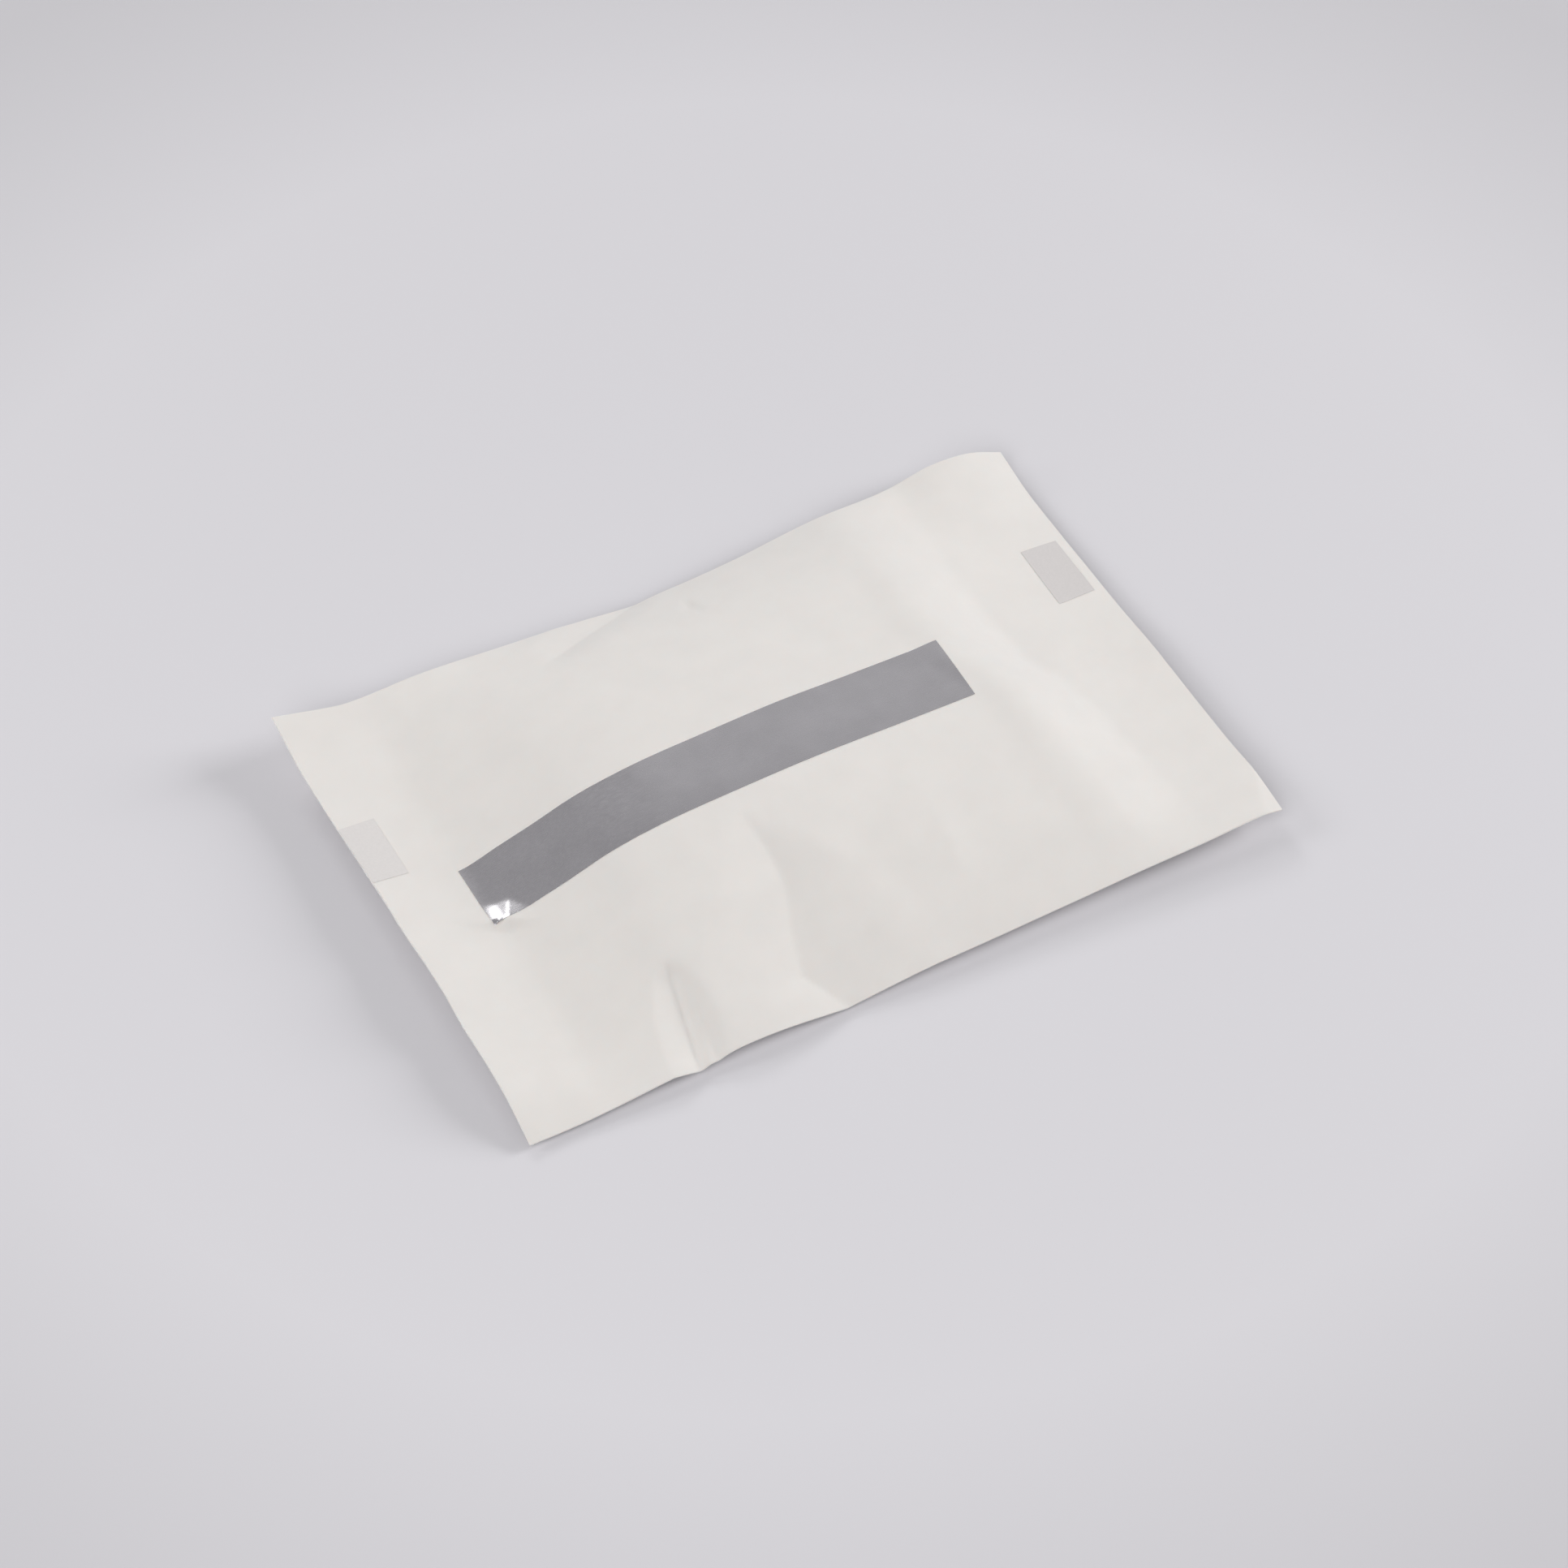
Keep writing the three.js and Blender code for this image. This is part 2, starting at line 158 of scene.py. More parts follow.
creases = [
    # Valley of the large facet below the band
    [
        (-9.6, -7.5, 0, 2.5, 2), (-8.8, -13.5, 0.9, 6, 4.5), (-9, -19, 1.6, 10.5, 8.5),
        (-10.9, -24, 2.1, 12.5, 11), (-12.3, -29.4, 2.2, 11.5, 12.5), (-8.3, -36, 1.4, 14, 13),
    ],
    # Second valley, which starts lower in the shade of the first
    [(0, -13, 0, 2, 2), (2, -18.5, 0.22, 5, 7), (4, -24, 0.2, 6, 8), (7, -36, 0, 6, 8)],
    # Dent in the near edge of the left slope
    [
        (-27, -21.5, 0, 1, 1.3), (-27.3, -23.5, 0.85, 2.5, 2.6), (-28.2, -28.5, 1.6, 3.8, 4),
        (-29, -33, 1.5, 4, 4), (-29.4, -36, 1, 3.6, 3.4),
    ],
    # Shallow slope on the right of the dent
    [(-25.3, -24, 0, 1, 3), (-26.2, -28.5, 0.4, 1.2, 4.5), (-27, -36, 0.5, 1.2, 5)],
    # Soft ridge that runs down to the near edge
    [(12, -10, 0, 4, 4), (12.2, -17, -0.25, 6, 3.5), (12, -24, -0.3, 7, 4), (11, -32, 0, 6, 4)],
    # Fold across the far left shoulder
    [
        (0.5, 35.4, 0.2, 3, 2.6), (-3, 33.8, 0.65, 4, 3.8), (-10, 30.9, 0.85, 5, 4.6),
        (-16, 28.3, 0.65, 4.5, 4.6), (-20, 26.6, 0, 3, 4),
    ],
    # Nick behind the band
    [(2.6, 30.5, 0, 1, 1), (2.4, 27.5, 0.4, 1.8, 1.1), (3.2, 24.5, 0, 1, 1)],
    # Small nick in front of the band
    [(-6.6, -7.4, 0, 0.8, 1), (-6.8, -9.6, 0.16, 1.6, 1.6), (-6.2, -12.6, 0, 1, 1)],
    # Pucker in the foil's near left corner
    [(-37.6, -7, -0.2, 1.6, 1.2), (-40.4, -5.4, -0.85, 3.6, 1.2), (-44.8, -3, -0.15, 2.4, 1)],
]

# Corners that are bent up or down. A bend has the two ends of its line and the slope past it, which
# is on the left when going from the first end to the second

bends = [
    ((-52.5, 27.5), (-42, 36), 0.22),
    ((52, -29), (49.5, -36), -0.25),
]


def length_property(name, description, default, least=0):
    return FloatProperty(
        name=name, description=description, default=default, min=least, unit="LENGTH", precision=5
    )


def angle_property(name, description, degrees):
    return FloatProperty(
        name=name, description=description, default=math.radians(degrees), subtype="ANGLE"
    )


def strength_property(name, description, default):
    return FloatProperty(name=name, description=description, default=default, min=0)


def color_property(name, description, default):
    return FloatVectorProperty(
        name=name, description=description, default=default, size=3, min=0, max=1, subtype="COLOR"
    )


class SachetSizes(bpy.types.PropertyGroup):
    """Sizes of the paper sachet"""

    paper_thickness: length_property(
        "Paper thickness", "Thickness of one layer of the web", 0.12 * MM, 0.04 * MM
    )
    fold_radius: length_property(
        "Fold radius",
        "Radius of the outer face in a side fold, which is half a seal's thickness",
        0.16 * MM,
        0.13 * MM,
    )
    mesh_step: length_property("Mesh step", "Spacing of the points on the paper", 0.45 * MM, 0.2 * MM)
    cockle: length_property("Cockle", "Height of the slight waves of the paper", 0.05 * MM)
    cockle_length: length_property(
        "Cockle length", "Length of the slight waves of the paper", 9 * MM, MM
    )
    tear_depth: length_property(
        "Tear depth", "How far the torn edge strays from its line", 0.25 * MM
    )
    print_gap: length_property(
        "Print gap", "Height of the foil and the ink above the paper", 0.03 * MM, 0.01 * MM
    )
    print_thickness: length_property(
        "Print thickness", "Thickness of the foil and of the ink", 0.02 * MM, 0.01 * MM
    )


class CapSizes(bpy.types.PropertyGroup):
    """Sizes of the folded cap"""

    film_thickness: length_property(
        "Film thickness", "Thickness of the film in the folded crown", 0.08 * MM, 0.02 * MM
    )
    film_step: length_property("Film step", "Spacing of the points on the film", 0.9 * MM, 0.4 * MM)
    leaf_count: IntProperty(
        name="Leaves", description="How many leaves of film lie on each other", default=7, min=3
    )
    crinkle: FloatProperty(
        name="Crinkle",
        description="Share of the space between two leaves that the film's crinkles take",
        default=0.3,
        min=0,
        max=0.4,
        subtype="FACTOR",
    )
    crinkle_length: length_property("Crinkle length", "Length of the film's crinkles", 4.2 * MM, MM)
    gather_count: IntProperty(
        name="Gathers", description="How many gathers go round the hem", default=46, min=8
    )
    gather_depth: length_property("Gather depth", "Height of a gather of the hem", 0.22 * MM)


class Finishes(bpy.types.PropertyGroup):
    """Colours of the materials, as linear values"""

    paper: color_property("Paper", "Colour of the coated white paper", (0.775, 0.749, 0.724))
    foil: color_property("Foil", "Colour of the satin silver band", (0.32, 0.314, 0.323))
    ink: color_property("Ink", "Colour of the pale grey mark on the right seal", (0.635, 0.607, 0.6))
    faint_ink: color_property(
        "Faint ink", "Colour of the fainter mark on the left seal", (0.7, 0.672, 0.66)
    )
    film: color_property("Film", "Colour of the milky film", (0.86, 0.875, 0.885))
    elastic: color_property("Elastic", "Colour of the covered elastic", (0.85, 0.84, 0.8))
    floor: color_property("Floor", "Colour of the floor and the background", (0.685, 0.672, 0.702))


class StageSettings(bpy.types.PropertyGroup):
    """Camera, lamps and floor"""

    target: FloatVectorProperty(
        name="Target",
        description="Point that the camera looks at",
        default=(1.32 * MM, 0.56 * MM, 0),
        size=3,
        unit="LENGTH",
        precision=5,
    )
    distance: length_property("Distance", "Distance from the camera to its target", 0.716, 0.1)
    azimuth: angle_property(
        "Azimuth", "Turn of the camera round the sachet, from straight in front", -28.54
    )
    elevation: angle_property("Elevation", "Height of the camera above the horizon", 50)
    lens: FloatProperty(
        name="Lens",
        description="Focal length on a sensor 36 mm wide, in millimetres",
        default=130.8,
        min=10,
    )
    world_strength: strength_property("World strength", "Light from all round", 0.18)
    lamp_strength: strength_property(
        "Lamp strength",
        "Light of all the lamps on the floor, with 1 for a floor that shows its own colour",
        1,
    )
    floor_size: length_property("Floor size", "Length of the floor's sides", 6, 1)


# Form of the sachet's front and back. The higher a power, the later the paper turns to its edge.

NEAR_POWER = 2.2
FAR_POWER = 3
FLOOR_POWER = 1.6
CUT_POWER = 1.3
BELLY_POWER = 1.5
LEFT_CREASE_POWER = 1.1
RIGHT_CREASE_POWER = 1.6
FLAT_SHARE = 0.6
LEFT_BELLY = -25.9 * MM
LOWEST_FOLD = 0.34 * MM
SKEW_START = 26 * MM
BEND_ROUNDING = 0.3 * MM
LEAST_REACH = 0.2 * MM
COCKLE_SEED = 3.7
TEAR_WAVE = 2.3 * MM
TEAR_WAVE_SEED = 5.1
TEAR_NICK = 0.7 * MM
TEAR_NICK_SEED = 8.3
TEAR_NICK_SHARE = 0.4


def ridge_height(x, y):
    """Height that the front has on its ridge. The slope down to the right seal runs askew."""
    askew = right_skew_at(y) * np.clip(x / SKEW_START, 0, 1)
    return np.where(x < left_seal_edge, left_seal_ridge_at(x), middle_ridge_at(x + askew))


def near_line(x):
    return near_inset_at(x) - side


def far_line(x):
    return side - far_inset_at(x)


def fold_height(x, y):
    """Height of the side fold that is on y's side."""
    return np.where(y < 0, near_fold_at(x), far_fold_at(x))


def roundness(across):
    """How far the front has come down from its ridge, at a share of the way to a side fold, which is
    below zero on the near side."""
    return np.abs(across) ** np.where(across < 0, NEAR_POWER, FAR_POWER)


def rounded_height(x, y):
    """Height of the front before the cut ends, bends and creases act on it."""
    line = np.where(y < 0, near_line(x), far_line(x))
    ridge = ridge_height(x, y)
    return ridge + (fold_height(x, y) - ridge) * roundness(np.clip(y / np.abs(line), -1, 1))


def cut_lift(x, y):
    """What brings the two ends to the heights of their cut edges."""
    left = np.clip((left_seal_edge - x) / (left_seal_edge - left_end), 0, 1) ** CUT_POWER
    right = np.clip((x - right_seal_edge) / (right_end - right_seal_edge), 0, 1) ** CUT_POWER
    left_gap = left_cut_at(y) - rounded_height(np.full_like(y, left_end), y)
    right_gap = right_cut_at(y) - rounded_height(np.full_like(y, right_end), y)
    return left * left_gap + right * right_gap


def bend_lift(x, y):
    """How far the corners are bent up or down."""
    lift = np.zeros_like(x)
    for start, end, slope in bends:
        from_x, from_y = np.array(start) * MM
        along = (np.array(end) - start) / math.dist(start, end)
        past = np.clip(along[0] * (y - from_y) - along[1] * (x - from_x), 0, None)
        lift += slope * (np.hypot(past, BEND_ROUNDING) - BEND_ROUNDING)
    return lift


def crease_lift(x, y, crease):
    """How far one crease moves the paper. Its depth and reaches go by the place along its chord."""
    rows = np.array(crease, float) * MM
    chord = rows[-1, :2] - rows[0, :2]
    place = (x - rows[0, 0]) * chord[0] + (y - rows[0, 1]) * chord[1]
    row_places = (rows[:, :2] - rows[0, :2]) @ chord
    depth, left_reach, right_reach = (np.interp(place, row_places, rows[:, i]) for i in (2, 3, 4))
    gap = np.full_like(x, np.inf)
    on_left = np.zeros_like(x, bool)
    for start, end in zip(rows[:-1], rows[1:]):
        run = end[:2] - start[:2]
        share = ((x - start[0]) * run[0] + (y - start[1]) * run[1]) / (run @ run)
        share = np.clip(share, 0, 1)
        off_x = x - start[0] - share * run[0]
        off_y = y - start[1] - share * run[1]
        distance = np.hypot(off_x, off_y)
        on_left = np.where(distance < gap, run[0] * off_y - run[1] * off_x < 0, on_left)
        gap = np.minimum(gap, distance)
    reach = np.maximum(np.where(on_left, left_reach, right_reach), LEAST_REACH)
    power = np.where(on_left, LEFT_CREASE_POWER, RIGHT_CREASE_POWER)
    return -depth * np.clip(1 - gap / reach, 0, 1) ** power


def front_height(x, y):
    """Height of the outer face of the front panel and of both end seals."""
    sizes = bpy.context.scene.sachet_sizes
    height = rounded_height(x, y) + cut_lift(x, y) + bend_lift(x, y)
    for crease in creases:
        height += crease_lift(x, y, crease)
    height += sizes.cockle * smooth_noise(x, y, sizes.cockle_length, COCKLE_SEED)
    return np.maximum(height, LOWEST_FOLD)


def belly_rise(x):
    """How far the middle of the back has left the floor, from 0 under the filled middle to 1 at the
    seals."""
    left = np.clip((LEFT_BELLY - x) / (LEFT_BELLY - left_seal_edge), 0, 1) ** BELLY_POWER
    right = np.clip((x - mouth) / (right_seal_edge - mouth), 0, 1)
    return np.maximum(left, right)


def belly_height(x, y):
    """Height of the back before it rises to its side folds. It leaves the floor towards the seals, and
    meets them where the creases of the front have moved them."""
    seal = np.where(x < 0, np.minimum(x, left_seal_edge), np.maximum(x, right_seal_edge))
    moved = front_height(seal, y) - rounded_height(seal, y)
    seal_height = ridge_height(seal, y) + moved - 2 * bpy.context.scene.sachet_sizes.fold_radius
    return belly_rise(x) * seal_height


def open_share(x):
    """How far a section has opened, from 0 in the flat seals to 1 in the filled middle."""
    left = (x - left_seal_edge) / (LEFT_BELLY - left_seal_edge)
    right = (right_seal_edge - x) / (right_seal_edge - mouth)
    return np.clip(np.minimum(left, right), 0, 1)


def tear_line(y):
    """Place of the torn edge along the sachet."""
    depth = bpy.context.scene.sachet_sizes.tear_depth
    waves = smooth_noise(y, 0 * y, TEAR_WAVE, TEAR_WAVE_SEED)
    nicks = smooth_noise(y, 0 * y, TEAR_NICK, TEAR_NICK_SEED)
    return mouth + depth * waves + TEAR_NICK_SHARE * depth * nicks


# Grids of points


def evenly(start, end, step):
    """Shares from 0 to 1, about a step apart on a run from start to end."""
    return np.linspace(0, 1, max(2, int(round(abs(end - start) / step)) + 1))


def with_margin(shares):
    """The shares with one more before the first and after the last, a small way outside."""
    margin = shares[1] - shares[0]
    return np.concatenate([[shares[0] - margin], shares, [shares[-1] + margin]])


def grid_normals(grid):
    along = np.gradient(grid, axis=0)
    across = np.gradient(grid, axis=1)
    normals = np.cross(along, across)
    return normals / np.linalg.norm(normals, axis=2, keepdims=True)


def as_line(value):
    """The value as a function of the place along or across, unless it is one."""
    return value if callable(value) else (lambda place: value + 0 * place)


def front_grid(start, end, low=None, high=None):
    """Points and normals of the front between two places along it, each a number or a function of y,
    and between two lines across, which are the side folds if not given."""
    step = bpy.context.scene.sachet_sizes.mesh_step
    from_y = near_line if low is None else as_line(low)
    to_y = far_line if high is None else as_line(high)
    from_x, to_x = as_line(start), as_line(end)
    middle = np.zeros(1)
    length = float(to_x(middle)[0] - from_x(middle)[0])
    width = float(to_y(middle)[0] - from_y(middle)[0])
    along, across = np.meshgrid(
        with_margin(evenly(0, length, step)), evenly(0, width, step), indexing="ij"
    )
    about_y = (2 * across - 1) * side if low is None else low + across * (high - low)
    x = from_x(about_y) + along * (to_x(about_y) - from_x(about_y))
    y = from_y(x) + across * (to_y(x) - from_y(x))
    grid = np.stack([x, y, front_height(x, y)], axis=2)
    return grid[1:-1], grid_normals(grid)[1:-1]


def turn_columns(points, normals, outward, angles, radius):
    """Columns of points that turn round a fold of the given radius, from the edge of a face."""
    centre = points - radius * normals
    directions = [math.cos(a) * normals + math.sin(a) * outward for a in angles]
    return (
        np.stack([centre + radius * d for d in directions], axis=1),
        np.stack(directions, axis=1),
    )


def edge_direction(points, inner, normals):
    """Direction in which a face goes on past its edge, square to its normals."""
    run = points - inner
    run -= normals * np.sum(run * normals, axis=1, keepdims=True)
    return run / np.linalg.norm(run, axis=1, keepdims=True)


def turned_grid(grid, normals, angles):
    """A front grid with the turns of its two side folds added to it."""
    radius = bpy.context.scene.sachet_sizes.fold_radius
    near_out = edge_direction(grid[:, 0], grid[:, 1], normals[:, 0])
    far_out = edge_direction(grid[:, -1], grid[:, -2], normals[:, -1])
    near, near_normals = turn_columns(grid[:, 0], normals[:, 0], near_out, angles[::-1], radius)
    far, far_normals = turn_columns(grid[:, -1], normals[:, -1], far_out, angles, radius)
    return (
        np.concatenate([near, grid, far], axis=1),
        np.concatenate([near_normals, normals, far_normals], axis=1),
    )


# Meshes and objects


def quads(index):
    """Faces between the neighbours in a grid of point numbers."""
    corners = [index[:-1, :-1], index[1:, :-1], index[1:, 1:], index[:-1, 1:]]
    return np.stack(corners, axis=-1).reshape(-1, 4)


def rim_quads(upper, lower):
    """Faces between two edges of points, which face to the right of the way that upper goes."""
    return np.stack([upper[:-1], upper[1:], lower[1:], lower[:-1]], axis=-1)


def placed(name, data):
    """A new object in the scene."""
    made = bpy.data.objects.new(name, data)
    bpy.context.scene.collection.objects.link(made)
    return made


def add_piece(name, mesh, material, body, node):
    """Makes a piece from points, faces and corner normals, hides the construction model's part in its
    place and puts the piece on its body. A corner that is the same as the next one is left out of its
    face."""
    points, faces, corner_normals = mesh
    kept = faces != np.roll(faces, -1, axis=1)
    data = bpy.data.meshes.new(name)
    data.from_pydata(points.tolist(), [], [face[keep].tolist() for face, keep in zip(faces, kept)])
    data.polygons.foreach_set("use_smooth", np.ones(len(data.polygons), bool))
    data.normals_split_custom_set(corner_normals[kept].tolist())
    data.materials.append(material)
    piece = placed(name, data)
    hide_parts(node)
    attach(piece, body)


LEAST_NORMAL = 1e-18


def flat_normals(points, faces):
    a, b, c, d = (points[faces[:, i]] for i in range(4))
    normals = np.cross(c - a, d - b)
    length = np.linalg.norm(normals, axis=1, keepdims=True)
    normals = normals / np.maximum(length, LEAST_NORMAL)
    return np.repeat(normals[:, None], 4, axis=1)


def closed_sheet(outer, inner, outer_normals, inner_normals, joined_sides=False):
    """A closed mesh from two faces with the same rows and columns. Its sides are either closed by a
    rim each, or joined, where the first and last columns of the two faces are the same."""
    rows, columns = outer.shape[:2]
    upper = np.arange(rows * columns).reshape(rows, columns)
    if joined_sides:
        inside = rows * columns + np.arange(rows * (columns - 2)).reshape(rows, columns - 2)
        lower = np.concatenate([upper[:, :1], inside, upper[:, -1:]], axis=1)
        points = np.concatenate([outer.reshape(-1, 3), inner[:, 1:-1].reshape(-1, 3)])
    else:
        lower = upper + rows * columns
        points = np.concatenate([outer.reshape(-1, 3), inner.reshape(-1, 3)])
    top, bottom = quads(upper), quads(lower)[:, ::-1]
    rims = [rim_quads(upper[0], lower[0]), rim_quads(upper[-1, ::-1], lower[-1, ::-1])]
    if not joined_sides:
        rims += [rim_quads(upper[::-1, 0], lower[::-1, 0]), rim_quads(upper[:, -1], lower[:, -1])]
    rim = np.concatenate(rims)
    top_normals = outer_normals.reshape(-1, 3)[top]
    bottom_normals = inner_normals.reshape(-1, 3)[top[:, ::-1]]
    normals = np.concatenate([top_normals, bottom_normals, flat_normals(points, rim)])
    return points, np.concatenate([top, bottom, rim]), normals


def sheet(outer, normals, thickness):
    """A closed mesh of a thin sheet from its outer face."""
    return closed_sheet(outer, outer - thickness * normals, normals, -normals)


def joined(meshes):
    """One mesh from several."""
    starts = np.cumsum([0] + [len(points) for points, _, _ in meshes])
    return (
        np.concatenate([points for points, _, _ in meshes]),
        np.concatenate([faces + start for (_, faces, _), start in zip(meshes, starts)]),
        np.concatenate([normals for _, _, normals in meshes]),
    )


def closed_ring(rings):
    """A closed mesh from rows of points that go round a bar, which closes on itself along its length."""
    rows, columns = rings.shape[:2]
    index = np.arange(rows * columns).reshape(rows, columns)
    index = np.concatenate([index, index[:1]])
    index = np.concatenate([index, index[:, :1]], axis=1)
    wrapped = np.concatenate([rings[-1:], rings, rings[:2]])
    wrapped = np.concatenate([wrapped[:, -1:], wrapped, wrapped[:, :2]], axis=1)
    normals = grid_normals(wrapped)[1:-2, 1:-2].reshape(-1, 3)
    faces = quads(index)
    return rings.reshape(-1, 3), faces, normals[faces]


def facing_out(points, faces, normals):
    """The same mesh with its faces turned round if they face inwards."""
    a, b, c, d = (points[faces[:, i]] for i in range(4))
    volume = np.sum(a * np.cross(b, c)) + np.sum(a * np.cross(c, d))
    if volume > 0:
        return points, faces, normals
    return points, faces[:, ::-1], -normals[:, ::-1]


# Materials


def set_inputs(node, **values):
    """Sets inputs of a node, whose names have _ for a space here."""
    for socket, value in values.items():
        node.inputs[socket.replace("_", " ")].default_value = value
    return node


class Finish:
    """A material whose nodes are added one by one, on a shader with the given values."""

    def __init__(self, name, color, **values):
        self.material = bpy.data.materials.new(name)
        self.material.use_nodes = True
        self.tree = self.material.node_tree
        self.shader = self.tree.nodes["Principled BSDF"]
        set_inputs(self.shader, Base_Color=(*color, 1), **values)
        self.places = self.tree.nodes.new("ShaderNodeTexCoord").outputs["Object"]

    def node(self, kind, **values):
        return set_inputs(self.tree.nodes.new(kind), **values)

    def link(self, start, end):
        self.tree.links.new(start, end)

    def noise(self, size, detail=2, stretch=None):
        """Noise whose patches are about size metres across, longer along the stretched axes."""
        node = self.node("ShaderNodeTexNoise", Scale=1 / size, Detail=detail)
        places = self.places
        if stretch:
            mapping = self.node("ShaderNodeMapping", Scale=[1 / s for s in stretch])
            self.link(places, mapping.inputs["Vector"])
            places = mapping.outputs["Vector"]
        self.link(places, node.inputs["Vector"])
        return node.outputs["Fac"]

    def ranged(self, value, low, high, from_low=0.3, from_high=0.7):
        """The value brought from one range to another."""
        limits = {"From_Min": from_low, "From_Max": from_high, "To_Min": low, "To_Max": high}
        node = self.node("ShaderNodeMapRange", **limits)
        self.link(value, node.inputs["Value"])
        return node.outputs["Result"]

    def mixed_color(self, value, first, second):
        node = self.node("ShaderNodeMix")
        node.data_type = "RGBA"
        set_inputs(node, A=(*first, 1), B=(*second, 1))
        self.link(value, node.inputs["Factor"])
        self.link(node.outputs["Result"], self.shader.inputs["Base Color"])

    def roughness(self, value, low, high):
        self.link(self.ranged(value, low, high), self.shader.inputs["Roughness"])

    def distance(self, low, high):
        """From 0 at the low distance from the origin to 1 at the high one."""
        length = self.node("ShaderNodeVectorMath")
        length.operation = "LENGTH"
        self.link(self.places, length.inputs[0])
        return self.ranged(length.outputs["Value"], 0, 1, low, high)

    def bump(self, heights):
        """Adds the (value, height in metres) pairs to each other as bump."""
        normal = None
        for value, height in heights:
            node = self.node("ShaderNodeBump", Strength=1, Distance=height)
            self.link(value, node.inputs["Height"])
            if normal is not None:
                self.link(normal, node.inputs["Normal"])
            normal = node.outputs["Normal"]
        self.link(normal, self.shader.inputs["Normal"])


def shaded(color, share):
    return tuple(channel * share for channel in color)


def paper_material(name, color):
    """Coated paper: faint cloudy tone, fine fibres and a soft satin face."""
    finish = Finish(
        name, color, Specular_IOR_Level=0.35, IOR=1.5, Sheen_Weight=0.05, Subsurface_Weight=1,
        Subsurface_Radius=(1, 0.85, 0.8), Subsurface_Scale=0.03 * MM,
    )
    clouds = finish.noise(5 * MM, 3)
    fibres = finish.noise(0.35 * MM, 3, (2.4, 1, 1))
    finish.mixed_color(finish.ranged(clouds, 0, 1), shaded(color, 0.985), shaded(color, 1.012))
    finish.roughness(fibres, 0.62, 0.74)
    finish.bump([(clouds, 0.02 * MM), (fibres, 0.003 * MM)])
    return finish.material


def foil_material(name, color):
    """Satin silver: brushed along the band, with faint clouds in its gloss."""
    finish = Finish(name, color, Metallic=0.75, Specular_IOR_Level=0.5)
    clouds = finish.noise(4 * MM, 3)
    brushing = finish.noise(0.18 * MM, 2, (14, 1, 1))
    finish.mixed_color(finish.ranged(clouds, 0, 1), shaded(color, 0.96), shaded(color, 1.04))
    finish.roughness(brushing, 0.22, 0.3)
    finish.bump([(clouds, 0.015 * MM), (brushing, 0.0015 * MM)])
    return finish.material


def ink_material(name, color):
    """Printed ink, which the paper's fibres break up a little."""
    finish = Finish(name, color, Specular_IOR_Level=0.35, IOR=1.5)
    specks = finish.noise(0.3 * MM, 3)
    finish.mixed_color(finish.ranged(specks, 0, 1), shaded(color, 0.975), shaded(color, 1.02))
    finish.roughness(specks, 0.6, 0.75)
    finish.bump([(specks, 0.003 * MM)])
    return finish.material


def film_material(name, color):
    """Thin milky film that lets light through, with fine crinkles in its gloss."""
    finish = Finish(name, color, IOR=1.5, Specular_IOR_Level=0.5, Transmission_Weight=0.3)
    crinkles = finish.noise(3.2 * MM, 1)
    haze = finish.noise(7 * MM, 2)
    finish.mixed_color(finish.ranged(haze, 0, 1), shaded(color, 0.97), shaded(color, 1.03))
    finish.roughness(crinkles, 0.24, 0.36)
    finish.bump([(crinkles, 0.12 * MM)])
    return finish.material


def elastic_material(name, color):
    """Elastic thread with fine turns of yarn round it."""
    finish = Finish(name, color, Roughness=0.7, Sheen_Weight=0.2)
    yarn = finish.noise(0.25 * MM, 2, (1, 0.6, 1))
    finish.mixed_color(finish.ranged(yarn, 0, 1), shaded(color, 0.88), shaded(color, 1.04))
    finish.bump([(yarn, 0.03 * MM)])
    return finish.material


def material_named(name, make, color):
    """The material of that name, made if it isn't there yet."""
    return bpy.data.materials.get(name) or make(name, color)


def web_paper():
    return material_named("Paper", paper_material, bpy.context.scene.sachet_finishes.paper)


def cap_film():
    return material_named("Film", film_material, bpy.context.scene.sachet_finishes.film)


# Operators


class SachetOperator(bpy.types.Operator):
    """Shares the options of the operators below"""

    bl_options = {"REGISTER", "UNDO"}


TURN_STEPS = 5
OPEN_TURN = math.radians(140)
SEAM_LAP = 0.03 * MM
BACK_COARSENESS = 1.4
FIN_COARSENESS = 2
FIN_GAP = 0.01 * MM
FIN_STEP_RUN = 1.2 * MM


def turn_angles(total):
    """Angles of the steps of a turn."""
    return [total * (step + 1) / TURN_STEPS for step in range(TURN_STEPS)]


def web_front(start, end):
    """The front of the web with its side folds, as outer points and normals."""
    grid, normals = front_grid(start, end)
    return turned_grid(grid, normals, turn_angles(OPEN_TURN))


class SACHET_OT_front(SachetOperator):
    """Builds the front of the web, from the left seal to the tear, and the piece that tears off"""

    bl_idname = "sachet.front"
    bl_label = "Front of the web"

    def execute(self, context):
        thickness = context.scene.sachet_sizes.paper_thickness
        paper = web_paper()
        stretches = (
            ("front_paper", left_seal_edge, tear_line, "sachet", "front_panel"),
            ("torn_front_paper", tear_line, right_seal_edge, "tear_strip", "tear_strip_front"),
        )
        for name, start, end, body, node in stretches:
            mesh = sheet(*web_front(start, end), thickness)
            add_piece(name, mesh, paper, body, node)
        return {"FINISHED"}


def back_rise(x, across):
    """How far the back has risen towards a side fold, from 0 at the middle to 1 at the fold, at a
    share of the way to it, which is below zero on the near side."""
    lifted = np.clip((np.abs(across) - FLAT_SHARE) / (1 - FLAT_SHARE), 0, 1) ** FLOOR_POWER
    opened = open_share(x)
    return roundness(across) * (1 - opened) + lifted * opened


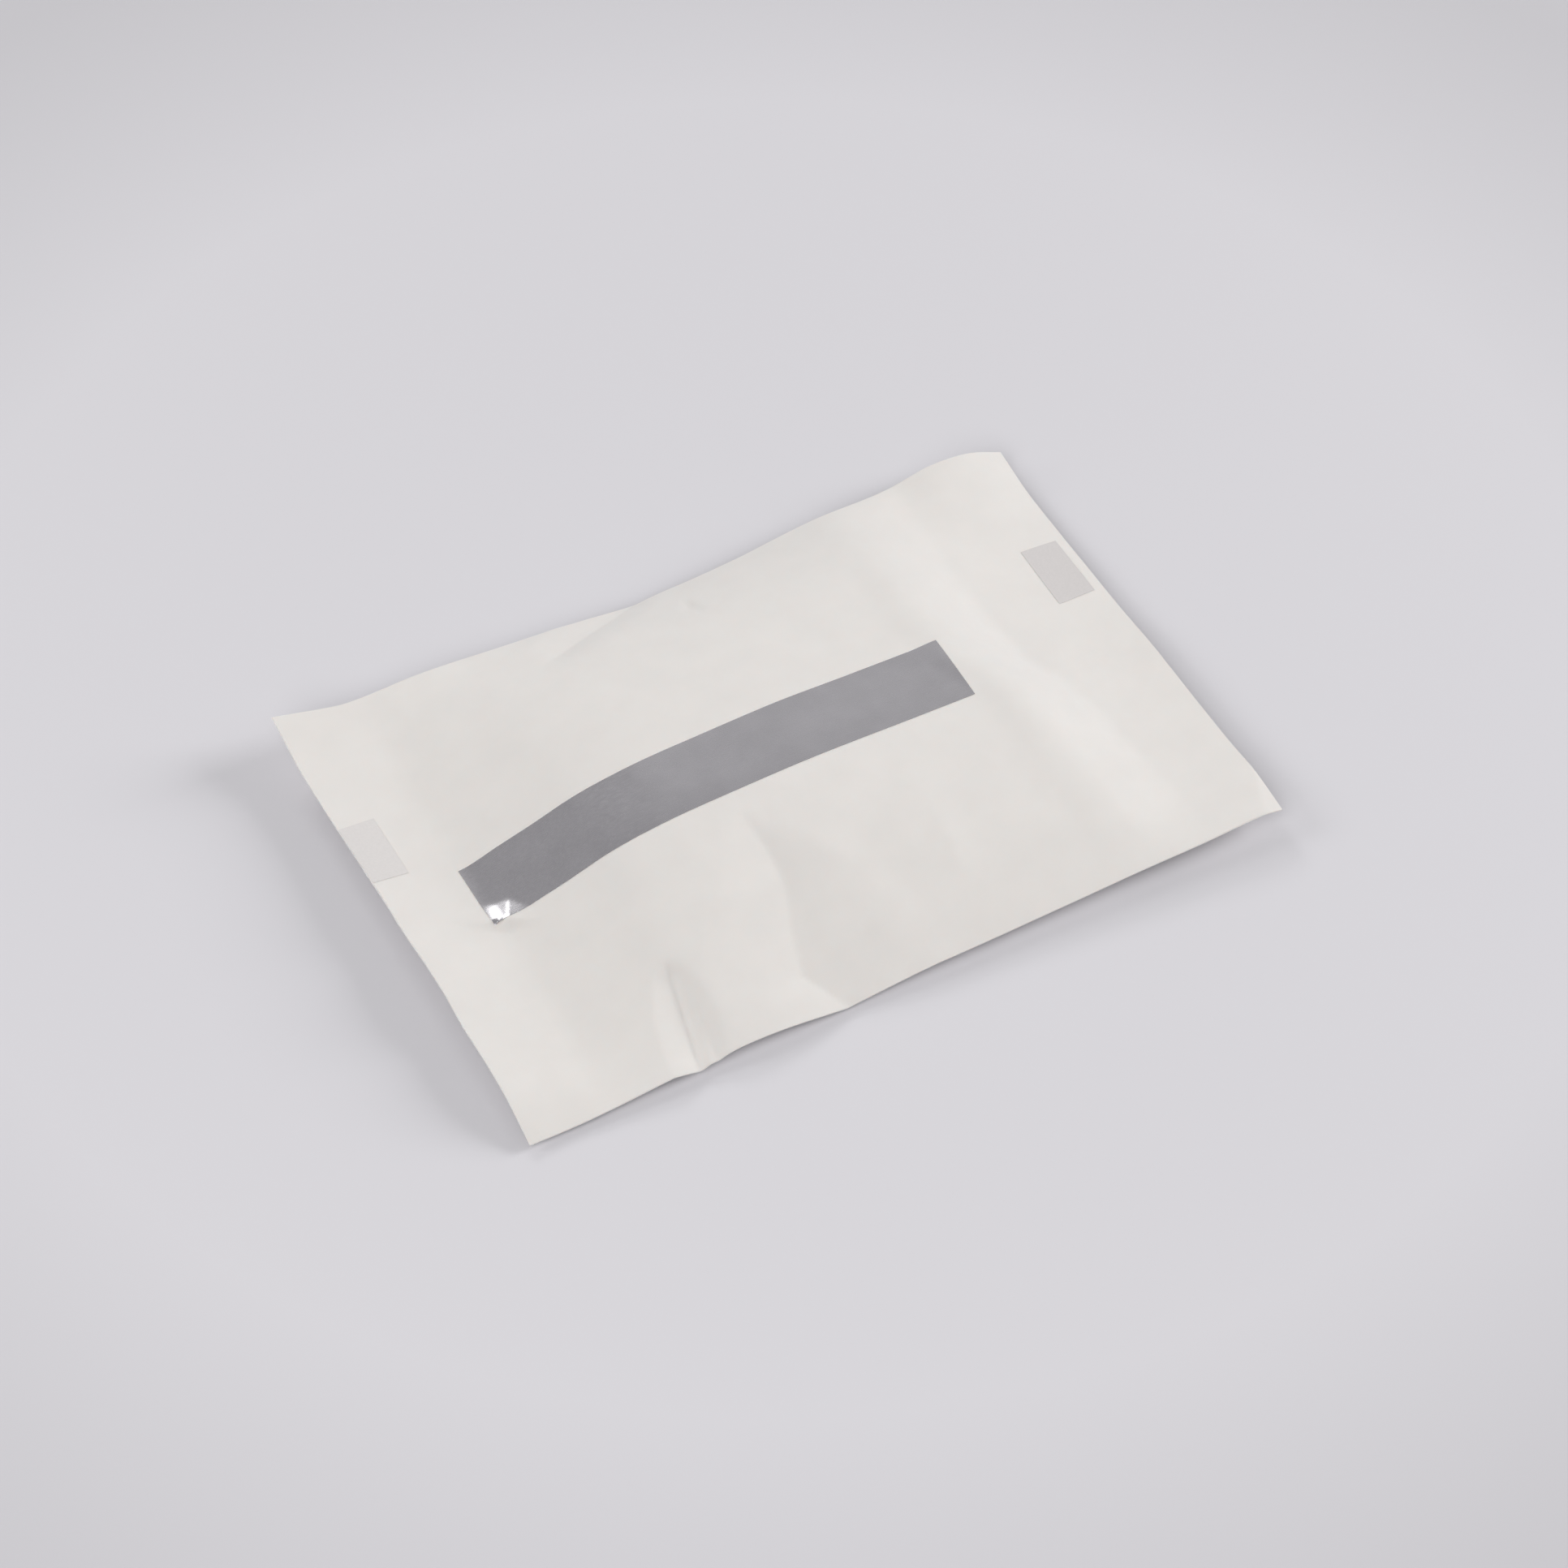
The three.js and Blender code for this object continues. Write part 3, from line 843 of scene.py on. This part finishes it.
def back_grid(start, end, near):
    """Points and normals of the outer face of the back, on one side of the fin. Its columns go from
    the far side to the near one."""
    sizes = bpy.context.scene.sachet_sizes
    outer, outer_normals = web_front(start, end)
    column = 0 if near else -1
    edge, edge_normals = outer[:, column], outer_normals[:, column]
    shares = evenly(0, side, sizes.mesh_step * BACK_COARSENESS)
    if near:
        shares = shares[::-1]
    x = np.repeat(edge[:, :1], len(shares), axis=1)
    y = edge[:, 1:2] * (1 - shares)
    across = (1 - shares) * (-1 if near else 1) + 0 * x
    belly = belly_height(x, y)
    z = belly + (edge[:, 2:] - belly) * back_rise(x, across)
    if not near:
        z += fin_step(x, y)
    grid = np.stack([x, y, z], axis=2)
    normals = grid_normals(grid)
    normals[:, -1 if near else 0] = edge_normals
    return grid, normals


def fin_step(x, y):
    """How far the far half of the back stands off the floor where it lies on the folded fin."""
    depth = 2 * bpy.context.scene.sachet_sizes.paper_thickness
    past = np.clip((fin_width + FIN_STEP_RUN - y) / FIN_STEP_RUN, 0, 1)
    return depth * eased(past) * (1 - belly_rise(x))


def back_height(x, y):
    """Height of the back's outer face, from the step over the fin to the underside of a side fold."""
    fold = fold_height(x, y) - 2 * bpy.context.scene.sachet_sizes.fold_radius
    belly = belly_height(x, y)
    return belly + (fold - belly) * back_rise(x, y / side) + fin_step(x, y)


class SACHET_OT_back(SachetOperator):
    """Builds the two halves of the web's back, and those of the piece that tears off"""

    bl_idname = "sachet.back"
    bl_label = "Back of the web"

    def execute(self, context):
        thickness = context.scene.sachet_sizes.paper_thickness
        paper = web_paper()
        stretches = (
            ("back_paper", left_seal_edge, tear_line, "sachet", "back_panel"),
            ("torn_back_paper", tear_line, right_seal_edge, "tear_strip", "tear_strip_back"),
        )
        for name, start, end, body, node in stretches:
            for where in ("near", "far"):
                mesh = sheet(*back_grid(start, end, where == "near"), thickness)
                add_piece(f"{name}_{where}", mesh, paper, body, f"{node}_{where}")
        return {"FINISHED"}


class SACHET_OT_end_seals(SachetOperator):
    """Builds the two flat end seals, where the front and the back are one"""

    bl_idname = "sachet.end_seals"
    bl_label = "End seals"

    def execute(self, context):
        radius = context.scene.sachet_sizes.fold_radius
        paper = web_paper()
        left_lap, right_lap = left_seal_edge + SEAM_LAP, right_seal_edge - SEAM_LAP
        seals = (
            ("left_seal_paper", left_end, left_lap, "sachet", "left_end_seal"),
            ("right_seal_paper", right_lap, right_end, "tear_strip", "right_end_seal"),
        )
        half_turn = turn_angles(math.pi / 2)
        for name, start, end, body, node in seals:
            grid, normals = front_grid(start, end)
            upper, upper_normals = turned_grid(grid, normals, half_turn)
            under = grid - 2 * radius * normals
            lower, lower_normals = turned_grid(under, -normals, half_turn)
            mesh = closed_sheet(upper, lower, upper_normals, lower_normals, joined_sides=True)
            add_piece(name, mesh, paper, body, node)
        return {"FINISHED"}


def skin_sheet(start, end, low, high, gap, thickness):
    """A printed skin on the front, as a closed sheet."""
    grid, normals = front_grid(start, end, low, high)
    outer = grid + (gap + thickness) * normals
    return closed_sheet(outer, grid + gap * normals, normals, -normals)


class SACHET_OT_foil_band(SachetOperator):
    """Builds the satin band along the front, which is left plain"""

    bl_idname = "sachet.foil_band"
    bl_label = "Foil band"

    def execute(self, context):
        sizes = context.scene.sachet_sizes
        foil = material_named("Foil", foil_material, context.scene.sachet_finishes.foil)
        gap, thickness = sizes.print_gap, sizes.print_thickness
        mesh = skin_sheet(band_low.x, band_high.x, band_low.y, band_high.y, gap, thickness)
        add_piece("silver_band", mesh, foil, "sachet", "foil_band")
        return {"FINISHED"}


class SACHET_OT_marks(SachetOperator):
    """Builds the two pale printed marks on the end seals"""

    bl_idname = "sachet.marks"
    bl_label = "Registration marks"

    def execute(self, context):
        sizes = context.scene.sachet_sizes
        finishes = context.scene.sachet_finishes
        marks = (
            ("left", "sachet", material_named("Faint ink", ink_material, finishes.faint_ink)),
            ("right", "tear_strip", material_named("Ink", ink_material, finishes.ink)),
        )
        for place, body, ink in marks:
            node = f"{place}_register_mark"
            low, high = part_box(node)
            mesh = skin_sheet(low.x, high.x, low.y, high.y, sizes.print_gap, sizes.print_thickness)
            add_piece(f"{place}_mark", mesh, ink, body, node)
        return {"FINISHED"}


class SACHET_OT_fin(SachetOperator):
    """Builds the fin seal of the back, folded flat towards the far side"""

    bl_idname = "sachet.fin"
    bl_label = "Fin seal"

    def execute(self, context):
        sizes = context.scene.sachet_sizes
        paper = web_paper()
        depth = 2 * sizes.paper_thickness
        step = sizes.mesh_step * FIN_COARSENESS
        stretches = (
            ("fin_paper", left_end, mouth, "sachet", "fin_seal"),
            ("torn_fin_paper", mouth, right_end, "tear_strip", "tear_strip_fin"),
        )
        for name, start, end, body, node in stretches:
            along, across = np.meshgrid(
                evenly(start, end, step), evenly(0, fin_width, step), indexing="ij"
            )
            x = start + along * (end - start)
            y = fin_width * (1 - across)
            under = front_height(x, y) - 2 * sizes.fold_radius
            sealed = np.clip(np.maximum(left_seal_edge - x, x - right_seal_edge), 0, None) > 0
            top = np.where(sealed, under, back_height(x, y)) - FIN_GAP
            outer = np.stack([x, y, top - depth], axis=2)
            inner = np.stack([x, y, top], axis=2)
            normals = grid_normals(outer)
            mesh = closed_sheet(outer, inner, normals, -normals)
            add_piece(name, mesh, paper, body, node)
        return {"FINISHED"}


# Folded cap


FILM_MARGIN = 0.25 * MM
FILM_SLACK = 0.12 * MM
LEAF_THROW = 1.3 * MM
THROW_LENGTH = 14 * MM
THROW_SEED = 2.1
BEND_STEPS = 6
CRINKLE_RISE = 6
CRINKLE_SEED = 3.3
BROAD_CRINKLE_SEED = 7.7
BROAD_CRINKLE_SHARE = 0.5
BROAD_CRINKLE_RATIO = 2.6
NECK_STEPS = 12
NECK_GATHERS = 17
NECK_RUFFLE = 0.25 * MM
NECK_RISE_SHARE = 0.75
HEM_RADIUS = 1.05 * MM
SPACE_STEPS = 60


def film_space(y):
    """Floor and ceiling of the room for the film at places across, over the whole way that it slides."""
    x, y = np.meshgrid(np.linspace(hem_low.x, mouth, SPACE_STEPS), y, indexing="ij")
    inside = (x > LEFT_BELLY) & (x < mouth)
    floor = np.where(inside, back_height(x, y), 0).max(axis=0)
    ceiling = front_height(x, y).min(axis=0)
    margin = bpy.context.scene.sachet_sizes.paper_thickness + FILM_MARGIN
    return floor + margin, ceiling - margin


class SACHET_OT_folded_film(SachetOperator):
    """Builds the crown of the cap, as film folded to and fro into leaves, whose lowest and highest ones
    are gathered into the hem"""

    bl_idname = "sachet.folded_film"
    bl_label = "Folded film"

    def execute(self, context):
        sizes = context.scene.cap_sizes
        count = sizes.leaf_count
        y = np.linspace(film_low.y, film_high.y, int((film_high.y - film_low.y) / sizes.film_step))
        floor, ceiling = film_space(y)
        pitch = (ceiling - floor) / (count - 1)
        leaves = [self.leaf_rows(sizes, leaf, y, floor, pitch) for leaf in range(count)]
        low_edge, high_edge = leaves[0][0], leaves[-1][0]
        stretches = (
            self.neck_rows(low_edge, -1) + [row for leaf in leaves for row in leaf],
            self.neck_rows(high_edge, 1) + [high_edge],
        )
        sheets = []
        for rows in stretches:
            outer = np.stack(rows)
            sheets.append(sheet(outer, grid_normals(outer), sizes.film_thickness))
        add_piece("folded_crown_film", joined(sheets), cap_film(), "cap", "crown_film")
        return {"FINISHED"}

    def neck_rows(self, edge, facing):
        """Rows of points from the hem to a leaf's edge: from under its left run or from above its right
        one, by the way that it faces."""
        turn_radius, run, height, _ = loop_sizes()
        x, y, z = edge.T
        hem_x = (hem_low.x + hem_high.x) / 2 + facing * turn_radius
        hem_z = height + facing * NECK_RISE_SHARE * HEM_RADIUS
        gathered = y * run / (film_high.y - film_low.y)
        ruffle = NECK_RUFFLE * np.cos(math.tau * NECK_GATHERS * gathered / run)
        rows = []
        for share in np.arange(NECK_STEPS) / NECK_STEPS:
            fall = 1 - (1 - share) ** 3
            place_y = gathered + eased(share) * (y - gathered)
            place_z = hem_z + fall * (z - hem_z) - facing * (1 - share) * (NECK_RUFFLE + ruffle)
            rows.append(np.stack([hem_x + share * (x - hem_x), place_y, place_z], axis=1))
        return rows

    def throw(self, bend, y):
        """How far a bend between two leaves stays behind the ends of the film's room."""
        return LEAF_THROW * (1 + smooth_noise(y, 0 * y, THROW_LENGTH, THROW_SEED * bend))

    def leaf_rows(self, sizes, leaf, y, floor, pitch):
        """Rows of points along one leaf, and round the bend to the next. The paper presses the outward
        crinkles of the lowest and the highest leaf flat."""
        forward = leaf % 2 == 0
        last_throw, next_throw = self.throw(leaf - 1, y), self.throw(leaf, y)
        bend = pitch / 2
        front = film_high.x - bend - (next_throw if forward else last_throw)
        back = film_low.x + bend + (last_throw if forward else next_throw)
        steps = int((film_high.x - film_low.x) / sizes.film_step)
        rows = []
        for share in np.linspace(0, 1, steps):
            place = share if forward else 1 - share
            x = back + place * (front - back)
            calm = np.clip(CRINKLE_RISE * np.minimum(place, 1 - place), 0, 1)
            length = sizes.crinkle_length
            fine = smooth_noise(x, y, length, CRINKLE_SEED * leaf)
            broad = smooth_noise(x, y, BROAD_CRINKLE_RATIO * length, BROAD_CRINKLE_SEED * leaf + 1)
            shift = pitch * sizes.crinkle * calm * (fine + BROAD_CRINKLE_SHARE * broad)
            pressed = FILM_SLACK * np.tanh(shift / FILM_SLACK)
            if leaf == 0:
                shift = np.maximum(shift, pressed)
            elif leaf == sizes.leaf_count - 1:
                shift = np.minimum(shift, pressed)
            rows.append(np.stack([x, y, floor + pitch * leaf + shift], axis=1))
        if leaf == sizes.leaf_count - 1:
            return rows
        for step in range(1, BEND_STEPS):
            angle = math.pi * step / BEND_STEPS
            reach = bend * math.sin(angle) * (1 if forward else -1)
            x = (front if forward else back) + reach
            z = floor + pitch * (leaf + (1 - math.cos(angle)) / 2)
            rows.append(np.stack([x, y, z], axis=1))
        return rows


def loop_rows(steps, turn_radius, run, height):
    """Centres and outward directions along a loop of two straight runs across, joined by half turns."""
    centre_x = (hem_low.x + hem_high.x) / 2
    turn_length = math.pi * turn_radius
    whole = 2 * (run + turn_length)
    centres, outwards = [], []
    for step in range(steps):
        along = whole * step / steps
        half = 1 if along < whole / 2 else -1
        local = along % (whole / 2)
        if local < run:
            outward = Vector((half, 0, 0))
            centre = Vector((half * turn_radius, half * (local - run / 2), 0))
        else:
            angle = (local - run) / turn_radius
            outward = Vector((half * math.cos(angle), half * math.sin(angle), 0))
            centre = outward * turn_radius + Vector((0, half * run / 2, 0))
        centres.append(centre + Vector((centre_x, 0, height)))
        outwards.append(outward)
    return np.array(centres), np.array(outwards)


def loop_sizes():
    """Radius of the loop's half turns, length of its runs, its height and the radius of its thread, from
    the box of the elastic, whose solid is six-sided and lies on a side."""
    thread = (elastic_high.z - elastic_low.z) / math.sqrt(3)
    turn_radius = (elastic_high.x - elastic_low.x) / 2 - thread
    run = elastic_high.y - elastic_low.y - 2 * (turn_radius + thread)
    return turn_radius, run, (elastic_low.z + elastic_high.z) / 2, thread


HEM_SIDES = 22
HEM_STEPS_PER_GATHER = 8
HEM_SLIT = 0.12
HEM_THICKNESS = 0.1 * MM
RIPPLE_SWING = 0.45
RIPPLE_TURN = 0.6
UNEVEN_SHIFT = 1.6
UNEVEN_LENGTH = 9
UNEVEN_SEED = 4.2
ELASTIC_SIDES = 14
ELASTIC_STEPS = 420
YARN_TURNS = 140
YARN_DEPTH = 0.03 * MM


class SACHET_OT_hem(SachetOperator):
    """Builds the gathered hem of the cap, a channel of film round its elastic, and the elastic"""

    bl_idname = "sachet.hem"
    bl_label = "Hem and elastic"

    def execute(self, context):
        sizes = context.scene.cap_sizes
        turn_radius, run, height, thread = loop_sizes()
        hem = self.gathered(sizes, turn_radius, run, height)
        add_piece("gathered_hem", hem, cap_film(), "cap", "cap_hem")
        elastic = self.thread(turn_radius, run, height, thread)
        yarn = material_named("Elastic", elastic_material, context.scene.sachet_finishes.elastic)
        add_piece("hem_elastic", elastic, yarn, "cap", "cap_elastic")
        return {"FINISHED"}

    def gathered(self, sizes, turn_radius, run, height):
        """The channel round the elastic, with a slit along its inner side. Its gathers are deepest
        beside the slit and unevenly spaced."""
        steps = sizes.gather_count * HEM_STEPS_PER_GATHER
        centres, outwards = loop_rows(steps, turn_radius, run, height)
        phase = np.arange(steps) / HEM_STEPS_PER_GATHER * math.tau
        phase += UNEVEN_SHIFT * smooth_noise(phase, 0 * phase, UNEVEN_LENGTH, UNEVEN_SEED)
        angles = np.linspace(math.tau * HEM_SLIT, math.tau * (1 - HEM_SLIT), HEM_SIDES)
        swing = 1 - RIPPLE_SWING + RIPPLE_SWING * np.cos(angles - RIPPLE_TURN)
        ripple = np.cos(phase)[:, None] * swing
        radius = HEM_RADIUS + sizes.gather_depth * ripple
        faces = []
        for shift, order in ((0, 1), (-HEM_THICKNESS, -1)):
            ring = self.around(centres, outwards, radius + shift, angles)
            faces.append(ring[:, ::order])
        return facing_out(*closed_ring(np.concatenate(faces, axis=1)))

    def thread(self, turn_radius, run, height, thread):
        """The elastic, with turns of yarn round it."""
        centres, outwards = loop_rows(ELASTIC_STEPS, turn_radius, run, height)
        angles = np.linspace(0, math.tau, ELASTIC_SIDES, endpoint=False)
        along = np.arange(ELASTIC_STEPS)[:, None] / ELASTIC_STEPS * math.tau * YARN_TURNS
        radius = thread - YARN_DEPTH + YARN_DEPTH * np.cos(along + 2 * angles[None])
        return facing_out(*closed_ring(self.around(centres, outwards, radius, angles)))

    def around(self, centres, outwards, radius, angles):
        """Rows of points round each centre, at the given radius and angles from the inside."""
        aside = -outwards[:, None] * (radius * np.cos(angles))[..., None]
        lift = np.zeros_like(aside)
        lift[..., 2] = radius * np.sin(angles)
        return centres[:, None] + aside + lift


# Stage


# Each lamp's name, azimuth and elevation in degrees, size, and its share of the light on the floor

LAMP_DISTANCE = 0.9
LAMPS = (
    ("right_lamp", 347, 24, 0.4, 0.27),
    ("near_left_lamp", 222, 45, 0.6, 0.36),
    ("far_left_lamp", 150, 29, 0.32, 0.115),
    ("far_lamp", 90, 31, 0.22, 0.09),
    ("far_right_lamp", 53, 40, 0.6, 0.035),
)
FLOOR_DROP = 0.05 * MM
# Painted shade on the floor: between two distances from the floor's centre, which is set off from the
# origin, its colour darkens to the given share. This stands in for the lamps' light falling off away from
# the sachet.
FLOOR_PAINTED_FALLOFF_RANGE = (0.11, 0.165)
FLOOR_PAINTED_SHADE_SHARE = 0.84
FLOOR_CENTRE = (0.0076, 0.014)
SENSOR_WIDTH = 36
CLIP_RANGE = (0.01, 20)


def backlight_mix(tree, color, strength):
    """A background that shows its colour to the camera and in metal and film, and lights the object
    at its strength."""
    world = set_inputs(tree.nodes["Background"], Color=(1, 1, 1, 1), Strength=strength)
    shown = set_inputs(tree.nodes.new("ShaderNodeBackground"), Color=(*color, 1))
    path = tree.nodes.new("ShaderNodeLightPath")
    mix = tree.nodes.new("ShaderNodeMixShader")
    seen = path.outputs["Is Camera Ray"]
    for ray in ("Is Glossy Ray", "Is Transmission Ray"):
        either = tree.nodes.new("ShaderNodeMath")
        either.operation = "MAXIMUM"
        tree.links.new(seen, either.inputs[0])
        tree.links.new(path.outputs[ray], either.inputs[1])
        seen = either.outputs["Value"]
    tree.links.new(seen, mix.inputs["Fac"])
    tree.links.new(world.outputs["Background"], mix.inputs[1])
    tree.links.new(shown.outputs["Background"], mix.inputs[2])
    tree.links.new(mix.outputs["Shader"], tree.nodes["World Output"].inputs["Surface"])


class SACHET_OT_stage(SachetOperator):
    """Builds the floor, the soft lamps and the camera"""

    bl_idname = "sachet.stage"
    bl_label = "Stage"

    def execute(self, context):
        scene = context.scene
        stage = scene.sachet_stage
        self.floor(scene)
        for name, azimuth, elevation, size, share in LAMPS:
            self.lamp(name, math.radians(azimuth), math.radians(elevation), size, share)
        world = bpy.data.worlds.new("Soft studio")
        world.use_nodes = True
        backlight_mix(world.node_tree, scene.sachet_finishes.floor, stage.world_strength)
        scene.world = world
        scene.view_settings.view_transform = "Standard"
        self.camera(scene, stage)
        return {"FINISHED"}

    def floor(self, scene):
        """A square floor whose colour is painted a little darker far from the sachet, as painted shade
        for the lamps' light falling off.
        """
        half = scene.sachet_stage.floor_size / 2
        mesh = bpy.data.meshes.new("floor")
        corners = [(-half, -half), (half, -half), (half, half), (-half, half)]
        mesh.from_pydata([(x, y, 0) for x, y in corners], [], [(0, 1, 2, 3)])
        color = scene.sachet_finishes.floor
        finish = Finish("Floor", color, Roughness=0.6, Specular_IOR_Level=0.25)
        # Painted shade: the floor's colour darkens away from its centre
        finish.mixed_color(finish.distance(*FLOOR_PAINTED_FALLOFF_RANGE), color, shaded(color, FLOOR_PAINTED_SHADE_SHARE))
        mesh.materials.append(finish.material)
        floor = placed("floor", mesh)
        floor.location = (*FLOOR_CENTRE, -FLOOR_DROP)

    def lamp(self, name, azimuth, elevation, size, share):
        """A square lamp that looks at the origin. Its power gives the floor there that share of light."""
        scene = bpy.context.scene
        data = bpy.data.lights.new(name, "AREA")
        data.shape = "SQUARE"
        data.size = size
        data.energy = scene.sachet_stage.lamp_strength * share * (math.pi * LAMP_DISTANCE) ** 2
        data.energy /= math.sin(elevation)
        level = math.cos(elevation)
        away = Vector((level * math.cos(azimuth), level * math.sin(azimuth), math.sin(elevation)))
        lamp = placed(name, data)
        lamp.location = away * LAMP_DISTANCE
        lamp.rotation_euler = away.to_track_quat("Z", "Y").to_euler()

    def camera(self, scene, stage):
        data = bpy.data.cameras.new("camera")
        data.sensor_width = SENSOR_WIDTH
        data.lens = stage.lens
        data.clip_start, data.clip_end = CLIP_RANGE
        camera = placed("camera", data)
        level = math.cos(stage.elevation)
        back_x, back_y = level * math.sin(stage.azimuth), -level * math.cos(stage.azimuth)
        back = Vector((back_x, back_y, math.sin(stage.elevation)))
        camera.location = Vector(stage.target) + back * stage.distance
        camera.rotation_euler = (-back).to_track_quat("-Z", "Y").to_euler()
        scene.camera = camera


# Panel and registration


piece_operators = (
    SACHET_OT_front,
    SACHET_OT_back,
    SACHET_OT_end_seals,
    SACHET_OT_fin,
    SACHET_OT_foil_band,
    SACHET_OT_marks,
    SACHET_OT_folded_film,
    SACHET_OT_hem,
    SACHET_OT_stage,
)


class SACHET_PT_panel(bpy.types.Panel):
    """Lists the steps that build the sachet, and their settings"""

    bl_idname = "SACHET_PT_panel"
    bl_label = "Sachet"
    bl_space_type = "VIEW_3D"
    bl_region_type = "UI"
    bl_category = "Sachet"

    def draw(self, context):
        scene = context.scene
        for operator in piece_operators:
            self.layout.operator(operator.bl_idname)
        for name in settings_groups:
            settings = getattr(scene, name)
            column = self.layout.column()
            for size in settings.__annotations__:
                column.prop(settings, size)


settings_groups = {
    "sachet_sizes": SachetSizes,
    "cap_sizes": CapSizes,
    "sachet_finishes": Finishes,
    "sachet_stage": StageSettings,
}
classes = (*settings_groups.values(), *piece_operators, SACHET_PT_panel)


def register():
    for cls in classes:
        bpy.utils.register_class(cls)
    for name, group in settings_groups.items():
        setattr(bpy.types.Scene, name, PointerProperty(type=group))


def unregister():
    for name in settings_groups:
        delattr(bpy.types.Scene, name)
    for cls in reversed(classes):
        bpy.utils.unregister_class(cls)


def main():
    register()
    for operator in piece_operators:
        group, name = operator.bl_idname.split(".")
        getattr(getattr(bpy.ops, group), name)()


if __name__ == "__main__":
    main()
